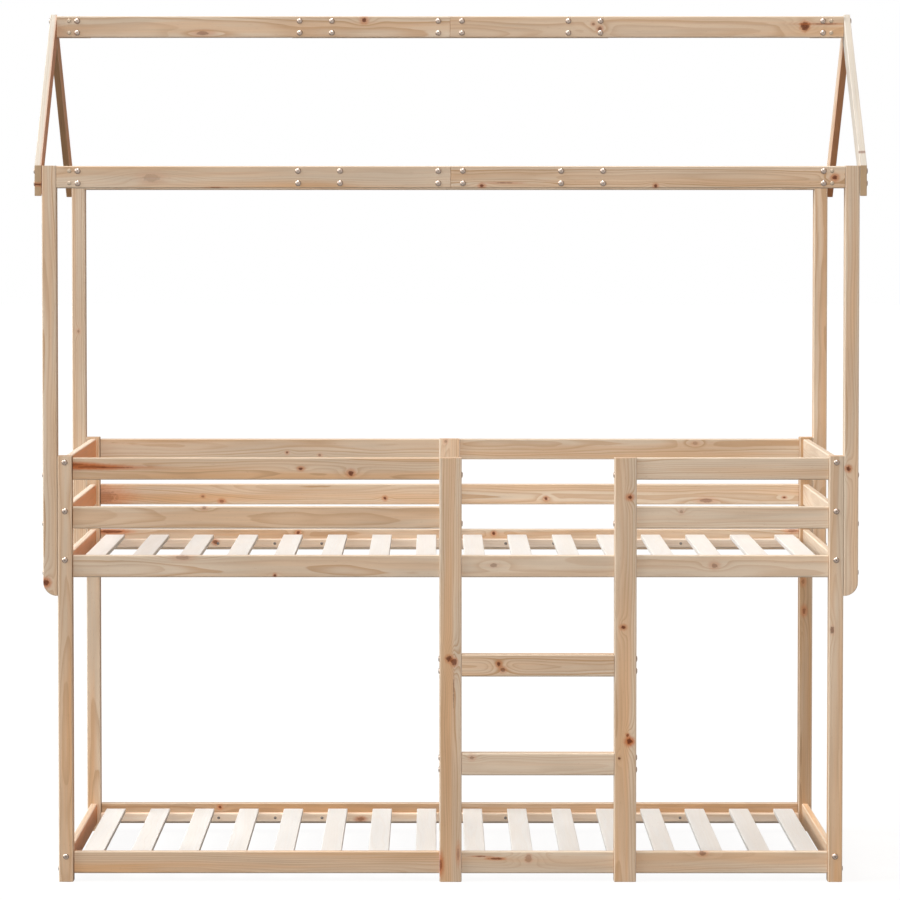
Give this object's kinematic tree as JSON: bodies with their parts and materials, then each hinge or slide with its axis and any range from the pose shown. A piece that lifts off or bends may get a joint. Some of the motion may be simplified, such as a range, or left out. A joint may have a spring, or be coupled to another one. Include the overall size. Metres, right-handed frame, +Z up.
{
  "type": "bunk bed",
  "caption": "House-shaped wooden bunk bed: slatted decks in a post-and-rail frame, with a front ladder, guard rails and an open gabled roof frame above.",
  "frame": {"origin": "on the floor, in the middle of the four corner posts", "axes": "+X along the bed to the right as seen from the ladder side, -Y towards the ladder side, +Z up"},
  "size_m": [2.1758, 0.8626, 2.2929],
  "materials": {
    "pine": "planed, untreated",
    "pale_slats": "planed, untreated",
    "bolts": "zinc plated"
  },
  "bodies": {
    "root": {"corner_post_front_left": "pine", "corner_post_front_right": "pine", "corner_post_rear_left": "pine", "corner_post_rear_right": "pine", "ladder_post_left": "pine", "ladder_post_right": "pine", "rear_centre_post": "pine", "ladder_step_1": "pine", "ladder_step_2": "pine", "front_lower_rail_left": "pine", "front_lower_rail_middle": "pine", "front_lower_rail_right": "pine", "front_upper_rail_left": "pine", "front_upper_rail_middle": "pine", "front_upper_rail_right": "pine", "front_guard_rail_left": "pine", "front_guard_rail_right": "pine", "front_top_rail_left": "pine", "front_top_rail_right": "pine", "rear_lower_rail_left": "pine", "rear_lower_rail_right": "pine", "left_lower_end_rail": "pine", "right_lower_end_rail": "pine", "rear_upper_rail_left": "pine", "rear_upper_rail_right": "pine", "left_upper_end_rail": "pine", "right_upper_end_rail": "pine", "rear_guard_rail_left": "pine", "rear_guard_rail_right": "pine", "left_guard_end_rail": "pine", "right_guard_end_rail": "pine", "rear_top_rail_left": "pine", "rear_top_rail_right": "pine", "left_top_end_rail": "pine", "right_top_end_rail": "pine", "roof_post_front_left": "pine", "rafter_front_left": "pine", "eave_rail_front_left": "pine", "eave_block_front_left": "pine", "roof_post_front_right": "pine", "rafter_front_right": "pine", "eave_rail_front_right": "pine", "eave_block_front_right": "pine", "eave_splice_front": "pine", "roof_post_rear_left": "pine", "rafter_rear_left": "pine", "eave_rail_rear_left": "pine", "eave_block_rear_left": "pine", "roof_post_rear_right": "pine", "rafter_rear_right": "pine", "eave_rail_rear_right": "pine", "eave_block_rear_right": "pine", "eave_splice_rear": "pine", "ridge_board_left": "pine", "ridge_board_right": "pine", "ridge_splice": "pine", "lower_slat_deck_left": "pale_slats", "lower_slat_deck_right": "pale_slats", "upper_slat_deck_left": "pale_slats", "upper_slat_deck_right": "pale_slats"}
  },
  "joints": []
}
